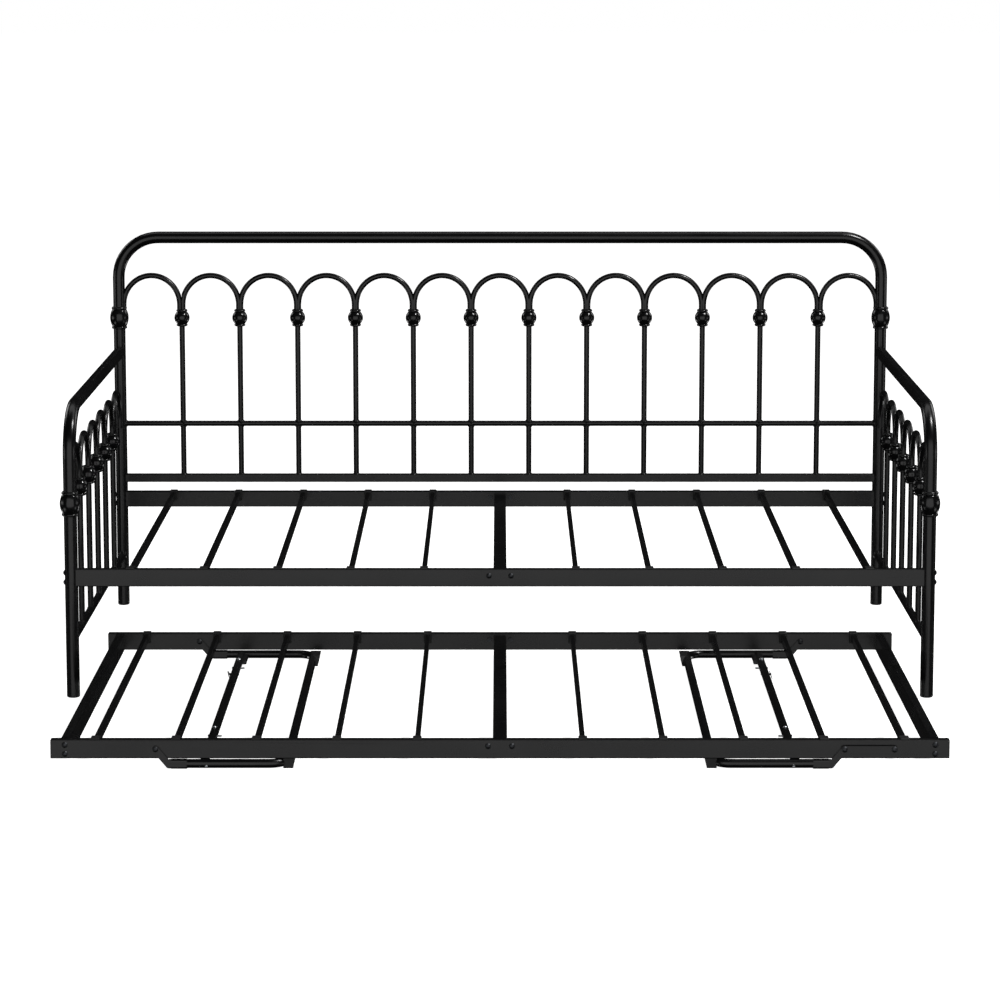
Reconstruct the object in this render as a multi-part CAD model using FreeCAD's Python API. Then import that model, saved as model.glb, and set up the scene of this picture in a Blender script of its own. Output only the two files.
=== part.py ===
import FreeCAD, Part
import math
import os
from FreeCAD import Vector

os.makedirs("parts", exist_ok=True)

# Metal daybed with a pop-up trundle frame.  Millimetres, +Z up, +X to the right of a person facing
# the bed's open side, +Y towards the back.  The working frame has Y = 0 on the front posts.

# ---- daybed: posts, back and arms ----
POST_X = 975.0            # post centres, left and right of the middle
BACK_Y = 971.0            # back posts, behind the front posts
MAIN_R = 15.0             # main tube, outer radius
MAIN_WALL = 1.5
PLUG_LIP = 4.0            # foot plug below the end of the post
PLUG_ROUND = 3.2
PLUG_STEM = 20.0
BACK_TOP_Z = 955.6        # centre of the back's top tube
BACK_BEND = 102.0
ARM_TOP_Z = 660.8         # centre of the arm's top tube
ARM_BEND = 108.5
ROD_R = 7.0               # spindles and arches
ROD_WALL = 1.0
ROD_INSERT = 14.5         # how far a spindle or a leg goes into its knuckle
LEG_OFFSET = 2.4          # an arch's leg stands this far from the spindle's axis
END_LEG_OFFSET = 5.2      # the same on the inner leg of an end arch
ARCH_STRETCH = 1.04       # height of an arch's crown over half its span
KNUCKLE_HALF = 21.9       # half the height of a spindle knuckle
KNUCKLE_BALL_R = 19.5
KNUCKLE_RING_R = 14.3
POST_KNUCKLE_HALF = 28.6
POST_KNUCKLE_BALL_R = 23.8
POST_KNUCKLE_RING_R = 19.6
RING_SHARE = 0.44         # part of a knuckle's height taken by its two beads
BEAD_R = 2.2              # rounding of a bead's edges
NECK_STEP = 0.6           # the barrel's neck below the beads

BACK_SPINDLES = 12
BACK_PITCH = 148.12
BACK_ARCH_TOP_Z = 857.6   # centre of the rod at an arch's crown
BACK_KNUCKLE_Z = 749.1
BACK_END_LEG_X = 963.3    # outer leg of the end arch, against the post
MIDDLE_BAR_R = 7.0
MIDDLE_BAR_Z = 475.0
BOTTOM_RAIL = 20.0        # square bottom rail of the back
BOTTOM_RAIL_Z = 323.0     # its underside

ARM_SPINDLES = 5
ARM_FIRST_Y = 166.5
ARM_PITCH = 155.3
ARM_ARCH_TOP_Z = 569.0
ARM_KNUCKLE_Z = 458.3
ARM_FRONT_LEG_Y = 10.5    # front leg of the first arch, against the front post
ARM_REAR_LEG_Y = 944.0    # rear leg of the last arch, free
ARM_REAR_LEG_END_Z = 467.0
ARM_BAR_R = 9.0
ARM_BAR_Z = 131.0
FRONT_KNUCKLE_Z = 448.5

# ---- daybed: mattress support ----
RAIL_DEPTH = 20.0
RAIL_HEIGHT = 40.0
RAIL_WALL = 1.2
RAIL_ROUND = 2.0          # outer corner radius of the rectangular tubes
SIDE_RAIL_Z = 258.3       # underside of the side rails
SIDE_BOLT_Z = (267.0, 289.0)
SLAT_WIDTH = 10.0
SLAT_HEIGHT = 20.0
SLAT_WALL = 1.0
SLAT_ROUND = 1.4
DAYBED_SLAT_X = 173.0
DAYBED_SLAT_PITCH = 167.0
SLATS_PER_SIDE = 5
CAP_WIDTH = 18.0
CAP_DEPTH = 8.0
CAP_LIP = 2.6             # height of a slat cap's lip over the rail
CAP_SIDE = 2.0            # plastic left under the slat
CAP_SETBACK = 1.0         # of the lip's end from the rail's outer face
CAP_ROUND = 1.5
CENTRE_BAR_WIDTH = 30.0
CENTRE_BAR_HEIGHT = 20.0
DAYBED_CENTRE_DROP = 4.8  # top of the centre bar below the top of its rails
TRUNDLE_CENTRE_DROP = 3.3
PLATE_WIDTH = 72.0
PLATE_HEIGHT = 21.0
PLATE_THICK = 2.5
PLATE_ROUND = 3.0
CENTRE_BOLT_X = 25.0

# ---- fasteners ----
BOLT_R = 3.0
BOLT_CLEAR = 0.15
HEAD_R = 6.3
HEAD_H = 3.8
SOCKET_R = 2.1
NUT_R = 5.8
NUT_H = 4.5
THREAD_SHOWN = 1.0        # thread beyond a nut
INSERT_LENGTH = 22.0      # threaded insert in the end of a rail

# ---- trundle ----
TRUNDLE_FRONT_Y = -610.0  # outer face of the front rail, pulled part way out
TRUNDLE_DEPTH = 999.5     # outer face to outer face
TRUNDLE_HALF = 941.25     # half of the rails' length
TRUNDLE_RAIL_Z = 21.3     # underside of the rails
END_BAR_X = 911.0
TRUNDLE_SLAT_X = 173.6
TRUNDLE_SLAT_PITCH = 168.6
TRUNDLE_BOLT_Z = (31.0, 50.5)
END_CAP_THICK = 2.0
END_CAP_STEM = 14.0
END_CAP_ROUND = 1.2

# ---- folding legs of the trundle ----
PIVOT_X = 721.0
PIVOT_Z = 42.0
LEG_TUBE_R = 9.5
LEG_TUBE_WALL = 1.2
LEG_TUBE_Z = 11.5
LEG_CROSS_X = 446.5       # centre of the U's cross tube
LEG_BEND = 38.0
LEG_SOCKET_X = (655.0, 688.0)
LEG_SOCKET_HALF = 7.0     # half the thickness of the flattened socket
LEG_SOCKET_Z = (1.0, 21.0)
LEG_SOCKET_ROUND = 4.0
STRAP_THICK = 3.0
STRAP_GAP = 0.3           # running clearance between strap and rail
STRAP_R = 7.2
STRAP_ELBOW = (693.0, 8.2)
CROSSBAR_X = 620.4
CROSSBAR_R = 9.5
PAD_LENGTH = 52.0         # along the top; the foot of its end reaches further
PAD_TOE = 20.0
PAD_X = (429.0, 454.0)
PAD_SLANT = 4.4           # lean of the pad's foot face over its height
PAD_SKIN = 2.0            # plastic under the tube, down to the floor
PAD_SETBACK = 4.0         # of the pad's end from the side tube's axis
CROSS_SCREW_X = 614.0
CROSS_SCREW_Z = 8.0
DOME_OFFSETS = (260.0, 890.0)    # dome screws, behind the U's front tube
CROSS_BOLT_OFFSETS = (222.0, 838.0)
CROSS_BOLT_TAIL = 9.0     # thread left standing on the inner side of the crossbar
TAB_LENGTH = 60.0
TAB_OUT = 8.0
TAB_HALF = 5.0            # half the tab's height
TAB_ROOT = 3.0            # tab taken into the crossbar's wall
TAB_SETBACK = 24.0        # from the U's rear tube
LOCK_PIN_OFFSETS = (163.0, 780.0)
PIN_R = 2.5
PIN_CLEAR = 0.1
PIN_REACH = 5.0           # pin beyond the crossbar on its outer side
PIN_TIP = 1.0             # pin beyond the crossbar on its inner side
RING_R = 9.0
RING_WIRE_R = 1.0
RING_INSET = 2.0          # from the pin's outer end
RING_TILT = 0.35
PIVOT_CLEAR = 0.08
SIDE_SCREW = (3.0, 1.6, 1.5)     # head radius, head height and shank radius
DOME_SCREW = (5.5, 3.4, 2.5)
CROSS_BOLT = (4.0, 2.5, 2.0)
SCREW_LENGTH = 16.0
STAY_X = 825.0            # outer bolt of the stay plate
STAY_HALF = 7.6
STAY_THICK = 2.5

# ---- derived places ----
UP = Vector(0, 0, 1)
RIGHT = Vector(1, 0, 0)
BACK = Vector(0, 1, 0)
SIDES = (-1, 1)
SIDE_RAIL_TOP = SIDE_RAIL_Z + RAIL_HEIGHT
TRUNDLE_TOP = TRUNDLE_RAIL_Z + RAIL_HEIGHT
TRUNDLE_REAR_Y = TRUNDLE_FRONT_Y + TRUNDLE_DEPTH
FRONT_INNER_Y = TRUNDLE_FRONT_Y + RAIL_DEPTH
REAR_INNER_Y = TRUNDLE_REAR_Y - RAIL_DEPTH
STRAP_OFFSET = STRAP_GAP + STRAP_THICK / 2
LEG_FRONT_Y = TRUNDLE_FRONT_Y - STRAP_OFFSET
LEG_REAR_Y = REAR_INNER_Y - STRAP_OFFSET
FRONT_LIMIT = LEG_FRONT_Y - LEG_TUBE_R
BACK_LIMIT = BACK_Y + POST_KNUCKLE_BALL_R
CENTRE_Y = (FRONT_LIMIT + BACK_LIMIT) / 2   # the origin's place in the working frame


# ---- shape helpers ----
def box(x0, x1, y0, y1, z0, z1):
    """Box between two limits on each axis, in either order."""
    low = Vector(min(x0, x1), min(y0, y1), min(z0, z1))
    return Part.makeBox(abs(x1 - x0), abs(y1 - y0), abs(z1 - z0), low)


def rod(start, end, radius):
    """Solid cylinder from start to end."""
    start = Vector(*start)
    along = Vector(*end) - start
    return Part.makeCylinder(radius, along.Length, start, along)


def tube(start, end, radius, wall):
    """Hollow cylinder from start to end."""
    return rod(start, end, radius).cut(rod(start, end, radius - wall))


def along_edges(shape, direction):
    """The straight edges of a shape that run along the direction."""
    return [e for e in shape.Edges if abs(e.tangentAt(e.FirstParameter).dot(direction)) > 0.9]


def square_tube(x0, x1, y0, y1, z0, z1, axis, wall, corner=RAIL_ROUND):
    """Rectangular tube with rounded long edges, open at both ends along axis."""
    margin = {"X": (0, wall, wall), "Y": (wall, 0, wall)}[axis]
    outer = box(x0, x1, y0, y1, z0, z1)
    outer = outer.makeFillet(corner, along_edges(outer, {"X": RIGHT, "Y": BACK}[axis]))
    x0, x1 = sorted((x0, x1))
    inner = box(x0 + margin[0], x1 - margin[0], y0 + margin[1], y1 - margin[1],
                z0 + margin[2], z1 - margin[2])
    return outer.cut(inner)


def bend_path(points, bend):
    """Wire through the points with every corner rounded to the bend radius."""
    points = [Vector(*p) for p in points]
    edges = []
    start = points[0]
    for before, corner, after in zip(points, points[1:], points[2:]):
        way_in = (corner - before).normalize()
        way_out = (after - corner).normalize()
        half_turn = way_in.getAngle(way_out) / 2
        setback = bend * math.tan(half_turn)
        arc_start = corner - way_in * setback
        arc_end = corner + way_out * setback
        inward = (way_out - way_in).normalize()
        middle = corner + inward * (bend / math.cos(half_turn) - bend)
        edges.append(Part.makeLine(start, arc_start))
        edges.append(Part.Arc(arc_start, middle, arc_end).toShape())
        start = arc_end
    edges.append(Part.makeLine(start, points[-1]))
    return Part.Wire(edges)


def bent_rod(points, bend, radius):
    """Solid round bar along a bent path."""
    path = bend_path(points, bend)
    direction = Vector(*points[1]) - Vector(*points[0])
    section = Part.Wire(Part.makeCircle(radius, Vector(*points[0]), direction))
    return path.makePipeShell([section], True, False)


def bent_tube(points, bend, radius, wall):
    """Round tube along a bent path, open at both ends."""
    return bent_rod(points, bend, radius).cut(bent_rod(points, bend, radius - wall))


def arch_rod(y_plane, x_legs, top_z, leg_ends, radius):
    """Upside-down U of round bar in a plane of constant Y: two legs and a half-ellipse crown."""
    half_span = (x_legs[1] - x_legs[0]) / 2
    middle = (x_legs[0] + x_legs[1]) / 2
    rise = half_span * ARCH_STRETCH
    spring = top_z - rise
    ellipse = Part.Ellipse(Vector(middle, y_plane, top_z), Vector(x_legs[0], y_plane, spring),
                           Vector(middle, y_plane, spring))
    quarters = [ellipse.toShape(-math.pi / 2, 0), ellipse.toShape(0, math.pi / 2)]
    first_foot = Vector(x_legs[0], y_plane, leg_ends[0])
    second_foot = Vector(x_legs[1], y_plane, leg_ends[1])
    edges = [Part.makeLine(first_foot, Vector(x_legs[0], y_plane, spring)),
             Part.makeLine(Vector(x_legs[1], y_plane, spring), second_foot)] + quarters
    path = Part.Wire(Part.__sortEdges__(edges))
    section = Part.Wire(Part.makeCircle(radius, first_foot, UP))
    return path.makePipeShell([section], True, False)


def arch_tube(y_plane, x_legs, top_z, leg_ends):
    """Hollow arch with each leg trimmed flat where the next arch stands beside it."""
    outer = arch_rod(y_plane, x_legs, top_z, leg_ends, ROD_R)
    return outer.cut(arch_rod(y_plane, x_legs, top_z, leg_ends, ROD_R - ROD_WALL))


def knuckle(half, ball_r, ring_r, bore_r):
    """Turned knuckle about Z at the origin: a barrel between two beads, with a bore through it."""
    ball_half = half * (1 - RING_SHARE)
    neck_r = ring_r - NECK_STEP
    barrel = Part.Arc(Vector(neck_r, 0, -ball_half), Vector(ball_r, 0, 0), Vector(neck_r, 0, ball_half))
    sides = Part.makePolygon([Vector(neck_r, 0, ball_half), Vector(bore_r, 0, ball_half),
                              Vector(bore_r, 0, -ball_half), Vector(neck_r, 0, -ball_half)])
    outline = Part.Wire([barrel.toShape()] + sides.Edges)
    shape = Part.Face(outline).revolve(Vector(0, 0, 0), UP, 360)
    for low in (-half, ball_half):
        ring_h = half - ball_half
        ring = Part.makeCylinder(ring_r, ring_h, Vector(0, 0, low))
        ring = ring.makeFillet(BEAD_R, [e for e in ring.Edges if e.Closed and e.Length > ring_r])
        if bore_r:
            ring = ring.cut(Part.makeCylinder(bore_r, ring_h, Vector(0, 0, low)))
        shape = shape.fuse(ring)
    return shape


def hexagon(radius, height):
    """Hexagonal prism along +Z from the origin, with its corners on the radius."""
    corners = [Vector(radius * math.cos(math.radians(60 * k)), radius * math.sin(math.radians(60 * k)), 0)
               for k in range(7)]
    return Part.Face(Part.makePolygon(corners)).extrude(Vector(0, 0, height))


def aim(shape, place, direction):
    """Turn a shape from +Z to the direction and move it to its place."""
    turned = shape.copy()
    turned.Placement = FreeCAD.Placement(Vector(*place), FreeCAD.Rotation(UP, Vector(*direction)))
    return turned


def bolt(length, head_r=HEAD_R, head_h=HEAD_H, shank_r=BOLT_R):
    """Button-head bolt: the head stands above Z = 0, the shank runs down by length."""
    crown_r = (head_r ** 2 + head_h ** 2) / (2 * head_h)
    crown = Part.makeSphere(crown_r, Vector(0, 0, head_h - crown_r))
    head = crown.common(Part.makeCylinder(head_r, head_h))
    socket = hexagon(min(SOCKET_R, head_r / 2), head_h).translated(Vector(0, 0, head_h * 0.45))
    shank = Part.makeCylinder(shank_r, length, Vector(0, 0, -length))
    return head.cut(socket).fuse(shank)


def nut():
    """Hexagon nut on Z = 0, growing towards -Z, with a plain bore for the bolt."""
    body = hexagon(NUT_R, NUT_H).translated(Vector(0, 0, -NUT_H))
    return body.cut(Part.makeCylinder(BOLT_R, NUT_H, Vector(0, 0, -NUT_H)))


def bolt_hole(place, direction, length):
    """Clearance hole starting just outside the place and running against the direction."""
    way = Vector(*direction).normalize()
    start = Vector(*place) + way
    return Part.makeCylinder(BOLT_R + BOLT_CLEAR, length + 1, start, way * -1)


def cut_all(shape, tools):
    """Remove every tool from the shape."""
    for tool in tools:
        shape = shape.cut(tool)
    return shape


def save(name, solids):
    """Write one node's solids with the origin under the middle of the whole bed."""
    solids = solids if isinstance(solids, list) else [solids]
    pieces = [piece for solid in solids for piece in solid.Solids]
    group = pieces[0] if len(pieces) == 1 else Part.makeCompound(pieces)
    group = group.translated(Vector(0, -CENTRE_Y, 0))
    group.exportStep("parts/%s.step" % name)
    limits = group.BoundBox
    print("%-28s solids %2d  X %8.1f %8.1f  Y %8.1f %8.1f  Z %7.1f %7.1f  volume %10.0f" % (
        name, len(pieces), limits.XMin, limits.XMax, limits.YMin, limits.YMax,
        limits.ZMin, limits.ZMax, group.Volume))


# ---- side rail bolts: through the posts from their outer sides into inserts in the rails ----
def side_bolt_places():
    """Head seat and outward direction of each side rail bolt."""
    return [((side * (POST_X + MAIN_R), y, z), (side, 0, 0))
            for side in SIDES for y in (0, BACK_Y) for z in SIDE_BOLT_Z]


def arm_bolt_places():
    """Head seat of each bolt that holds an arm to the back post from behind."""
    return [((side * POST_X, BACK_Y + MAIN_R, z), (0, 1, 0))
            for side in SIDES for z in (ARM_TOP_Z, ARM_BAR_Z)]


SIDE_BOLT_LENGTH = 2 * MAIN_R + INSERT_LENGTH
ARM_BOLT_LENGTH = 2 * MAIN_R + INSERT_LENGTH
side_holes = [bolt_hole(place, way, SIDE_BOLT_LENGTH) for place, way in side_bolt_places()]
arm_holes = [bolt_hole(place, way, ARM_BOLT_LENGTH) for place, way in arm_bolt_places()]
save("side_rail_bolts", [aim(bolt(SIDE_BOLT_LENGTH), place, way) for place, way in side_bolt_places()])
save("arm_bolts", [aim(bolt(ARM_BOLT_LENGTH), place, way) for place, way in arm_bolt_places()])

# ---- main tubes ----
back_path = [(-POST_X, BACK_Y, PLUG_LIP), (-POST_X, BACK_Y, BACK_TOP_Z),
             (POST_X, BACK_Y, BACK_TOP_Z), (POST_X, BACK_Y, PLUG_LIP)]
back_solid = bent_rod(back_path, BACK_BEND, MAIN_R)
back_bore = bent_rod(back_path, BACK_BEND, MAIN_R - MAIN_WALL)
save("back_frame_tube", cut_all(back_solid.cut(back_bore), side_holes + arm_holes))

back_posts = [rod((side * POST_X, BACK_Y, 0), (side * POST_X, BACK_Y, BACK_TOP_Z - BACK_BEND), MAIN_R)
              for side in SIDES]
front_posts = [rod((side * POST_X, 0, 0), (side * POST_X, 0, ARM_TOP_Z - ARM_BEND), MAIN_R)
               for side in SIDES]

for side, name in zip(SIDES, ("left", "right")):
    arm_path = [(side * POST_X, 0, PLUG_LIP), (side * POST_X, 0, ARM_TOP_Z),
                (side * POST_X, BACK_Y, ARM_TOP_Z)]
    arm = bent_tube(arm_path, ARM_BEND, MAIN_R, MAIN_WALL)
    save(name + "_arm_tube", cut_all(arm, back_posts + side_holes))


def foot_plug(x, y):
    """Plastic plug in the bottom of a post: a lip as wide as the tube and a stem inside it."""
    lip = Part.makeCylinder(MAIN_R, PLUG_LIP, Vector(x, y, 0))
    lip = lip.makeFillet(PLUG_ROUND, [e for e in lip.Edges if e.Closed and e.CenterOfMass.z < 1])
    stem = Part.makeCylinder(MAIN_R - MAIN_WALL, PLUG_STEM, Vector(x, y, PLUG_LIP))
    return lip.fuse(stem)


save("foot_plugs", [foot_plug(side * POST_X, y) for side in SIDES for y in (0, BACK_Y)])

# ---- back: spindles, arches, knuckles, bars ----
back_spindle_x = [BACK_PITCH * (k - (BACK_SPINDLES - 1) / 2) for k in range(BACK_SPINDLES)]
spindle_top = BACK_KNUCKLE_Z - KNUCKLE_HALF + ROD_INSERT
leg_foot = BACK_KNUCKLE_Z + KNUCKLE_HALF - ROD_INSERT
bottom_rail_top = BOTTOM_RAIL_Z + BOTTOM_RAIL
save("back_spindles", [tube((x, BACK_Y, bottom_rail_top), (x, BACK_Y, spindle_top), ROD_R, ROD_WALL)
                       for x in back_spindle_x])
spindle_solids = [rod((x, BACK_Y, bottom_rail_top), (x, BACK_Y, spindle_top), ROD_R)
                  for x in back_spindle_x]

leg_lines = [-BACK_END_LEG_X] + back_spindle_x + [BACK_END_LEG_X]


def leg_pair(first, last, at_start, at_end):
    """Leg centres of an arch between two spindle lines; an end arch's outer leg stands on its own line."""
    if at_start:
        return first, last - END_LEG_OFFSET
    if at_end:
        return first + END_LEG_OFFSET, last
    return first + LEG_OFFSET, last - LEG_OFFSET


back_arches = []
arch_solids = []
for k, (first, last) in enumerate(zip(leg_lines, leg_lines[1:])):
    legs = leg_pair(first, last, k == 0, k == BACK_SPINDLES)
    keep = box(first - (0 if k > 0 else ROD_R), last + (0 if k < BACK_SPINDLES else ROD_R),
               BACK_Y - ROD_R, BACK_Y + ROD_R, leg_foot, BACK_ARCH_TOP_Z + ROD_R)
    arch = arch_tube(BACK_Y, legs, BACK_ARCH_TOP_Z, (leg_foot, leg_foot)).common(keep)
    solid = arch_rod(BACK_Y, legs, BACK_ARCH_TOP_Z, (leg_foot, leg_foot), ROD_R).common(keep)
    back_arches.append(cut_all(arch, back_posts))
    arch_solids.append(solid)
save("back_arches", back_arches)

spindle_knuckle = knuckle(KNUCKLE_HALF, KNUCKLE_BALL_R, KNUCKLE_RING_R, 0)
post_knuckle = knuckle(POST_KNUCKLE_HALF, POST_KNUCKLE_BALL_R, POST_KNUCKLE_RING_R, MAIN_R)


def fitted_knuckle(place, neighbours):
    """Cast knuckle with the pockets that its spindle and arch legs sit in."""
    return cut_all(spindle_knuckle.translated(Vector(*place)), neighbours)


save("back_spindle_knuckles",
     [fitted_knuckle((x, BACK_Y, BACK_KNUCKLE_Z), [spindle_solids[k], arch_solids[k], arch_solids[k + 1]])
      for k, x in enumerate(back_spindle_x)])
end_arches = [arch_solids[0], arch_solids[-1]]
save("back_post_knuckles",
     [post_knuckle.translated(Vector(side * POST_X, BACK_Y, BACK_KNUCKLE_Z)).cut(end_arches[k])
      for k, side in enumerate(SIDES)])

middle_bar = tube((-POST_X, BACK_Y, MIDDLE_BAR_Z), (POST_X, BACK_Y, MIDDLE_BAR_Z), MIDDLE_BAR_R, ROD_WALL)
save("back_middle_bar", cut_all(middle_bar, spindle_solids + back_posts))
bottom_rail = square_tube(-POST_X, POST_X, BACK_Y - BOTTOM_RAIL / 2, BACK_Y + BOTTOM_RAIL / 2,
                          BOTTOM_RAIL_Z, bottom_rail_top, "X", RAIL_WALL)
save("back_bottom_rail", cut_all(bottom_rail, back_posts))

# ---- arms: spindles, arches, knuckles, bottom bars ----
arm_spindle_y = [ARM_FIRST_Y + ARM_PITCH * k for k in range(ARM_SPINDLES)]
arm_leg_foot = ARM_KNUCKLE_Z + KNUCKLE_HALF - ROD_INSERT
arm_leg_lines = [ARM_FRONT_LEG_Y] + arm_spindle_y + [ARM_REAR_LEG_Y]


def turned_to_side(shape, side):
    """Carry a shape from the plane Y = 0, with its X as depth, to one side of the bed."""
    turned = shape.copy()
    turned.rotate(Vector(0, 0, 0), UP, 90)
    turned.translate(Vector(side * POST_X, 0, 0))
    return turned


front_arches = []
for side, name in zip(SIDES, ("left", "right")):
    bar_start = (side * POST_X, 0, ARM_BAR_Z)
    bar_end = (side * POST_X, BACK_Y, ARM_BAR_Z)
    bar = tube(bar_start, bar_end, ARM_BAR_R, ROD_WALL)
    save(name + "_arm_bottom_bar", cut_all(bar, front_posts + back_posts))
    bar_solid = rod(bar_start, bar_end, ARM_BAR_R)
    spindle_end = ARM_KNUCKLE_Z - KNUCKLE_HALF + ROD_INSERT
    spindles = []
    solids = []
    for y in arm_spindle_y:
        ends = ((side * POST_X, y, ARM_BAR_Z), (side * POST_X, y, spindle_end))
        spindles.append(tube(*ends, ROD_R, ROD_WALL).cut(bar_solid))
        solids.append(rod(*ends, ROD_R))
    save(name + "_arm_spindles", spindles)
    arches = []
    arch_solids = []
    for k, (first, last) in enumerate(zip(arm_leg_lines, arm_leg_lines[1:])):
        legs = leg_pair(first, last, k == 0, k == ARM_SPINDLES)
        feet = (arm_leg_foot, ARM_REAR_LEG_END_Z if k == ARM_SPINDLES else arm_leg_foot)
        keep = box(first - (0 if k > 0 else ROD_R), last + (0 if k < ARM_SPINDLES else ROD_R),
                   -ROD_R, ROD_R, min(feet), ARM_ARCH_TOP_Z + ROD_R)
        arch = arch_tube(0, legs, ARM_ARCH_TOP_Z, feet).common(keep)
        solid = arch_rod(0, legs, ARM_ARCH_TOP_Z, feet, ROD_R).common(keep)
        arches.append(cut_all(turned_to_side(arch, side), front_posts))
        arch_solids.append(turned_to_side(solid, side))
    save(name + "_arm_arches", arches)
    front_arches.append(arch_solids[0])
    save(name + "_arm_knuckles",
         [fitted_knuckle((side * POST_X, y, ARM_KNUCKLE_Z), [solids[k], arch_solids[k], arch_solids[k + 1]])
          for k, y in enumerate(arm_spindle_y)])

save("front_post_knuckles",
     [post_knuckle.translated(Vector(side * POST_X, 0, FRONT_KNUCKLE_Z)).cut(front_arches[k])
      for k, side in enumerate(SIDES)])


# ---- mattress support, the same construction in the daybed and the trundle ----
def slat_places(first, pitch):
    """Middles of the slats, left to right."""
    return [side * (first + pitch * k) for side in SIDES for k in range(SLATS_PER_SIDE)]


def slat(x, y_front, y_rear, top):
    """Narrow tube on edge between the two rails."""
    half = SLAT_WIDTH / 2
    return square_tube(x - half, x + half, y_front, y_rear, top - SLAT_HEIGHT, top, "Y", SLAT_WALL,
                       SLAT_ROUND)


def slat_cap(x, y_face, inward, top):
    """Plastic socket round a slat's end, with a lip hooked over the rail."""
    half = CAP_WIDTH / 2
    inner = y_face + inward * CAP_DEPTH
    body = box(x - half, x + half, y_face, inner, top - SLAT_HEIGHT - CAP_SIDE, top + CAP_LIP)
    reach = RAIL_DEPTH - CAP_SETBACK
    lip = box(x - half, x + half, y_face, y_face - inward * reach, top, top + CAP_LIP)
    lip_edges = [e for e in lip.Edges if abs(e.CenterOfMass.z - top - CAP_LIP) < 0.01
                 and abs(e.CenterOfMass.y - y_face + inward * reach) < 0.01]
    lip = lip.makeFillet(CAP_LIP * 0.6, lip_edges)
    body_edges = [e for e in body.Edges if abs(e.CenterOfMass.y - inner) < 0.01]
    body = body.makeFillet(CAP_ROUND, body_edges)
    room = box(x - SLAT_WIDTH / 2, x + SLAT_WIDTH / 2, y_face, inner, top - SLAT_HEIGHT, top)
    return body.fuse(lip).cut(room)


def centre_plate(y_face, inward, bar_top):
    """Flat plate on a rail's inner face that carries the end of the centre bar."""
    low = bar_top - PLATE_HEIGHT + 0.5
    plate = box(-PLATE_WIDTH / 2, PLATE_WIDTH / 2, y_face, y_face + inward * PLATE_THICK,
                low, low + PLATE_HEIGHT)
    return plate.makeFillet(PLATE_ROUND, along_edges(plate, BACK))


def centre_bolts(y_outer, outward, z):
    """Seats and direction of the two bolts through a rail and its centre plate."""
    return [((side * CENTRE_BOLT_X, y_outer, z), (0, outward, 0)) for side in SIDES]


def support(prefix, y_front, y_rear, top, centre_drop, slats):
    """Slats, caps, centre bar, plates and bolts between two rails; returns the rails' bolt holes."""
    inner_front = y_front + RAIL_DEPTH
    inner_rear = y_rear - RAIL_DEPTH
    save(prefix + "_slats", [slat(x, inner_front, inner_rear, top) for x in slats])
    save(prefix + "_slat_caps", [slat_cap(x, face, inward, top) for x in slats
                                 for face, inward in ((inner_front, 1), (inner_rear, -1))])
    bar_top = top - centre_drop
    half = CENTRE_BAR_WIDTH / 2
    save(prefix + "_centre_bar",
         square_tube(-half, half, inner_front + PLATE_THICK, inner_rear - PLATE_THICK,
                     bar_top - CENTRE_BAR_HEIGHT, bar_top, "Y", RAIL_WALL))
    bolt_z = bar_top - CENTRE_BAR_HEIGHT / 2
    places = centre_bolts(y_front, -1, bolt_z) + centre_bolts(y_rear, 1, bolt_z)
    holes = [bolt_hole(place, way, RAIL_DEPTH + PLATE_THICK + 1) for place, way in places]
    plates = [cut_all(centre_plate(face, inward, bar_top), holes)
              for face, inward in ((inner_front, 1), (inner_rear, -1))]
    save(prefix + "_centre_plates", plates)
    reach = RAIL_DEPTH + PLATE_THICK + NUT_H + THREAD_SHOWN
    grip = RAIL_DEPTH + PLATE_THICK
    bolts = [aim(bolt(reach), place, way) for place, way in places]
    nuts = [aim(nut(), (place[0], place[1] - way[1] * grip, place[2]), way) for place, way in places]
    save(prefix + "_centre_bolts", bolts + nuts)
    return holes


daybed_slats = slat_places(DAYBED_SLAT_X, DAYBED_SLAT_PITCH)
side_rail_faces = ((-RAIL_DEPTH / 2, "front"), (BACK_Y - RAIL_DEPTH / 2, "back"))
daybed_holes = support("daybed", -RAIL_DEPTH / 2, BACK_Y + RAIL_DEPTH / 2, SIDE_RAIL_TOP,
                       DAYBED_CENTRE_DROP, daybed_slats)
for y_face, name in side_rail_faces:
    rail = square_tube(-POST_X, POST_X, y_face, y_face + RAIL_DEPTH, SIDE_RAIL_Z, SIDE_RAIL_TOP,
                       "X", RAIL_WALL)
    save(name + "_side_rail", cut_all(rail, front_posts + back_posts + daybed_holes))


def rail_insert(side, y):
    """Steel block in a side rail's end with the threads for its two bolts."""
    depth = RAIL_DEPTH / 2 - RAIL_WALL
    block = box(side * (POST_X - MAIN_R), side * (POST_X - MAIN_R - INSERT_LENGTH), y - depth, y + depth,
                SIDE_RAIL_Z + RAIL_WALL, SIDE_RAIL_TOP - RAIL_WALL)
    screws = [rod((side * POST_X, y, z), (side * (POST_X - SIDE_BOLT_LENGTH), y, z), BOLT_R)
              for z in SIDE_BOLT_Z]
    return cut_all(block, screws + front_posts + back_posts)


save("side_rail_inserts", [rail_insert(side, y) for side in SIDES for y in (0, BACK_Y)])


def arm_insert(side, z, radius):
    """Threaded plug in the rear end of an arm tube."""
    near = BACK_Y - MAIN_R
    plug = rod((side * POST_X, near, z), (side * POST_X, near - INSERT_LENGTH, z), radius)
    screw = rod((side * POST_X, BACK_Y, z), (side * POST_X, near - INSERT_LENGTH, z), BOLT_R)
    return plug.cut(screw)


save("arm_inserts", [arm_insert(side, z, radius) for side in SIDES
                     for z, radius in ((ARM_TOP_Z, MAIN_R - MAIN_WALL), (ARM_BAR_Z, ARM_BAR_R - ROD_WALL))])

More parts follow.
